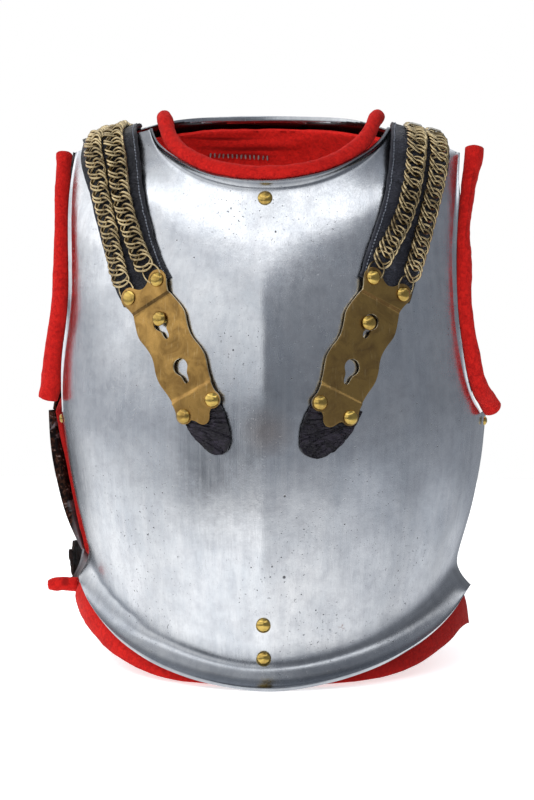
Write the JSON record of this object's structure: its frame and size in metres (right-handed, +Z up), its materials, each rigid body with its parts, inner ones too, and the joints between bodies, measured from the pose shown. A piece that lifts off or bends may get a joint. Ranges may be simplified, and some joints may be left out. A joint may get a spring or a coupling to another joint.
{
  "type": "cuirass",
  "caption": "Cavalry cuirass of polished steel breastplate and backplate, joined by chained leather shoulder straps with brass hook plates, with a red wool lining and rolled edges.",
  "frame": {"origin": "The middle of the bounding box's footprint, on the surface that the cuirass stands on.", "axes": "X points to the viewer's right when the breastplate is seen from the front, which is the wearer's left. Y points from the breastplate to the backplate, so the front faces -Y. Z points up."},
  "size_m": [0.3748, 0.2986, 0.4458],
  "materials": {
    "polished_steel": "satin",
    "red_wool": "matte",
    "strap_leather": "satin",
    "belt_leather": "matte",
    "aged_brass": "satin",
    "bright_brass": "satin",
    "chain_brass": "satin"
  },
  "bodies": {
    "root": {"breastplate": "polished_steel", "backplate": "polished_steel", "breast_lining": "red_wool", "back_lining": "red_wool", "neck_roll": "red_wool", "armhole_roll_left": "red_wool", "armhole_roll_right": "red_wool", "band_curl_left": "red_wool", "rivet_neck": "bright_brass", "rivet_waist": "bright_brass", "rivet_flange": "bright_brass", "rivet_side_left": "bright_brass", "rivet_side_right": "bright_brass", "belt_stub": "belt_leather", "rivet_belt": "bright_brass", "strap_leather_left": "strap_leather", "strap_tip_left": "strap_leather", "hook_plate_left": "aged_brass", "rivet_ear_outer_left": "bright_brass", "rivet_ear_inner_left": "bright_brass", "rivet_foot_outer_left": "bright_brass", "rivet_foot_inner_left": "bright_brass", "stud_left": "bright_brass", "rear_plate_left": "aged_brass", "rivet_rear_outer_left": "bright_brass", "rivet_rear_inner_left": "bright_brass", "chain_outer_left": "chain_brass", "chain_inner_left": "chain_brass", "strap_leather_right": "strap_leather", "strap_tip_right": "strap_leather", "hook_plate_right": "aged_brass", "rivet_ear_outer_right": "bright_brass", "rivet_ear_inner_right": "bright_brass", "rivet_foot_outer_right": "bright_brass", "rivet_foot_inner_right": "bright_brass", "stud_right": "bright_brass", "rear_plate_right": "aged_brass", "rivet_rear_outer_right": "bright_brass", "rivet_rear_inner_right": "bright_brass", "chain_outer_right": "chain_brass", "chain_inner_right": "chain_brass"}
  },
  "joints": []
}
